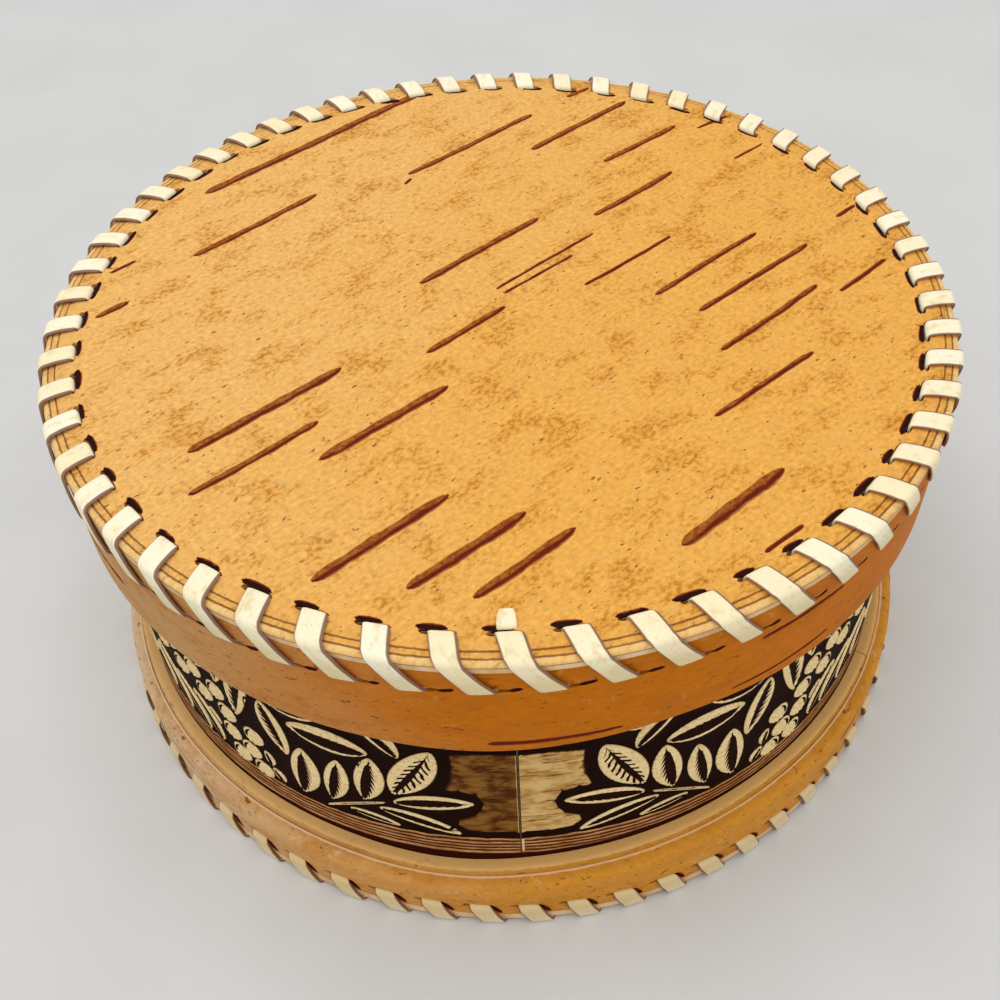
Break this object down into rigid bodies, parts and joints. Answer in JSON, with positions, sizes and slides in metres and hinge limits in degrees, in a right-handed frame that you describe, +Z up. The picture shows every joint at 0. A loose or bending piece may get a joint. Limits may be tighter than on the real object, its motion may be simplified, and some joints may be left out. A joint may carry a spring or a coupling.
{
  "type": "birch bark box",
  "caption": "Round birch bark box with a lift-off lid, whip-laced rims and a dark wall band of pale raised leaves.",
  "frame": {"origin": "centre of the plane that the box stands on", "axes": "+Z up along the box's axis; -Y towards the front, where the ends of the patterned band meet"},
  "size_m": [0.227, 0.227, 0.108],
  "materials": {
    "bark_outer": "satin, waxed outer bark with dark lenticels",
    "bark_inner": "matt inner bark",
    "lace": "smooth pale strip",
    "stained_band": "dark stained ground with pale raised leaves"
  },
  "bodies": {
    "box": {"base_sheet": "bark_outer", "floor_disc": "bark_inner", "base_collar": "bark_outer", "base_collar_inner": "bark_inner", "base_lacing": "lace", "decorated_band": "stained_band", "wall_core": "bark_inner", "inner_wall": "bark_inner"},
    "lid": {"lid_top_sheet": "bark_outer", "lid_backing_disc": "bark_inner", "lid_collar": "bark_outer", "lid_collar_inner": "bark_inner", "lid_lacing": "lace"}
  },
  "joints": [
    {"name": "lid_lift", "type": "slide", "parent": "box", "child": "lid", "axis": [0, 0, 1], "range_m": [0, 0.075]}
  ]
}
